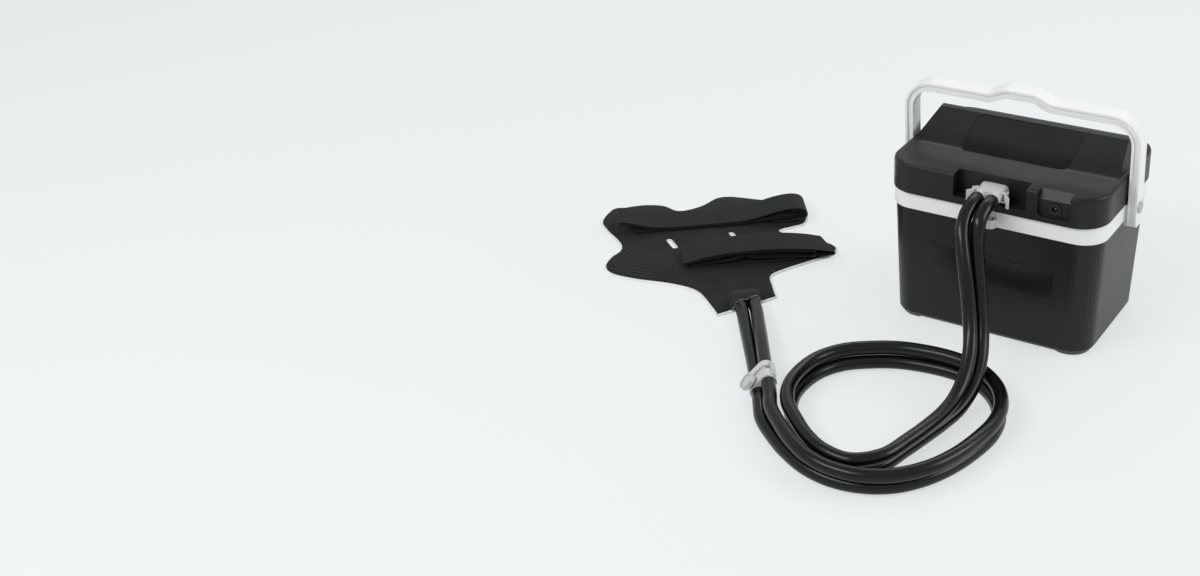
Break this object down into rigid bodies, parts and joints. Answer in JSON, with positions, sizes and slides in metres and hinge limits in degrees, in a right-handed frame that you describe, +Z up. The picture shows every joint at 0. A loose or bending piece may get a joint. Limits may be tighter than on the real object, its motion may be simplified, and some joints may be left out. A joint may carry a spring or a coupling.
{
  "type": "hot cold therapy machine",
  "caption": "Insulated therapy tank with lidded pump, bail handle, twin hose, inline coupling and a flat pad with elastic straps.",
  "frame": {"origin": "centre of the tank's base, on the floor", "axes": "+Z up, the hose ports face -Y, +X to the user's right when facing the ports"},
  "size_m": [0.8493, 0.6551, 0.336],
  "materials": {
    "tank_shell": "fine moulded grain, satin",
    "white_plastic": "satin moulded plastic",
    "grey_plastic": "pale grey moulded plastic, satin",
    "label_film": "smooth blank film",
    "foam": "rigid insulating foam",
    "steel": "plain steel",
    "bright_pin": "bright plated contact",
    "black_rubber": "matt",
    "black_plastic": "matt",
    "clear_tube": "milky flexible tube",
    "hose_sleeve": "satin insulating sleeve",
    "pale_fabric": "brushed pale backing",
    "bladder_film": "flexible film",
    "dark_fabric": "stretch fabric with a soft sheen",
    "elastic": "ribbed elastic webbing"
  },
  "bodies": {
    "tank": {"outer_shell": "tank_shell", "foam_liner": "foam", "inner_tank": "white_plastic", "collar_band": "white_plastic", "front_label": "label_film", "pivot_boss_left": "grey_plastic", "pivot_boss_right": "grey_plastic", "pivot_pins": "steel", "catch_post": "grey_plastic", "hose_supply": "hose_sleeve", "hose_return": "hose_sleeve", "coupling_box_half": "grey_plastic", "coupling_pad_half": "grey_plastic", "coupling_seals": "black_rubber", "pad_hose_supply": "hose_sleeve", "pad_hose_return": "hose_sleeve", "pad_backing": "pale_fabric", "pad_bladder": "bladder_film", "pad_cover": "dark_fabric", "strap_upper": "elastic", "strap_lower": "elastic"},
    "lid": {"lid_cover": "tank_shell", "lid_plate": "label_film", "lid_base": "white_plastic", "lid_foam": "foam", "lid_gasket": "black_rubber", "lid_screws": "steel", "catch_tongue": "grey_plastic", "port_socket": "grey_plastic", "dc_jack": "black_plastic", "dc_jack_nut": "steel", "dc_jack_pin": "bright_pin", "power_lead": "black_rubber", "pump_bracket": "white_plastic", "pump_motor": "steel", "pump_housing": "black_plastic", "pump_strainer": "black_plastic", "supply_tube": "clear_tube", "return_tube": "clear_tube", "tube_clamps": "steel", "hose_plug": "grey_plastic", "plug_seals": "black_rubber", "latch_pins": "steel"},
    "handle": {"handle": "white_plastic", "handle_bushes": "grey_plastic"},
    "pump_rotor": {"pump_rotor": "black_plastic"},
    "latch_left": {"latch_left": "grey_plastic"},
    "latch_right": {"latch_right": "grey_plastic"},
    "coupling_button": {"coupling_button": "grey_plastic"}
  },
  "joints": [
    {"name": "handle_swing", "type": "hinge", "parent": "tank", "child": "handle", "pos_m": [0, 0, 0.1935], "axis": [-1, 0, 0], "range_deg": [-50, 90]},
    {"name": "lid_lift", "type": "slide", "parent": "tank", "child": "lid", "axis": [0, 0, 1], "range_m": [0, 0.03]},
    {"name": "pump_spin", "type": "hinge", "parent": "lid", "child": "pump_rotor", "pos_m": [-0.062, 0.01, 0.0571], "axis": [0, 0, 1], "continuous": true},
    {"name": "left_latch_squeeze", "type": "hinge", "parent": "lid", "child": "latch_left", "pos_m": [-0.022, -0.1045, 0.2225], "axis": [0, 0, 1], "range_deg": [0, 8], "stiffness_Nm_per_rad": 0.05, "springref_deg": -2.86},
    {"name": "right_latch_squeeze", "type": "hinge", "parent": "lid", "child": "latch_right", "pos_m": [0.022, -0.1045, 0.2225], "axis": [0, 0, -1], "range_deg": [0, 8], "stiffness_Nm_per_rad": 0.05, "springref_deg": -2.86},
    {"name": "coupling_button_press", "type": "slide", "parent": "tank", "child": "coupling_button", "axis": [0.6087, 0.4263, -0.6691], "range_m": [0, 0.003], "stiffness_N_per_m": 300, "springref_m": -0.001}
  ]
}
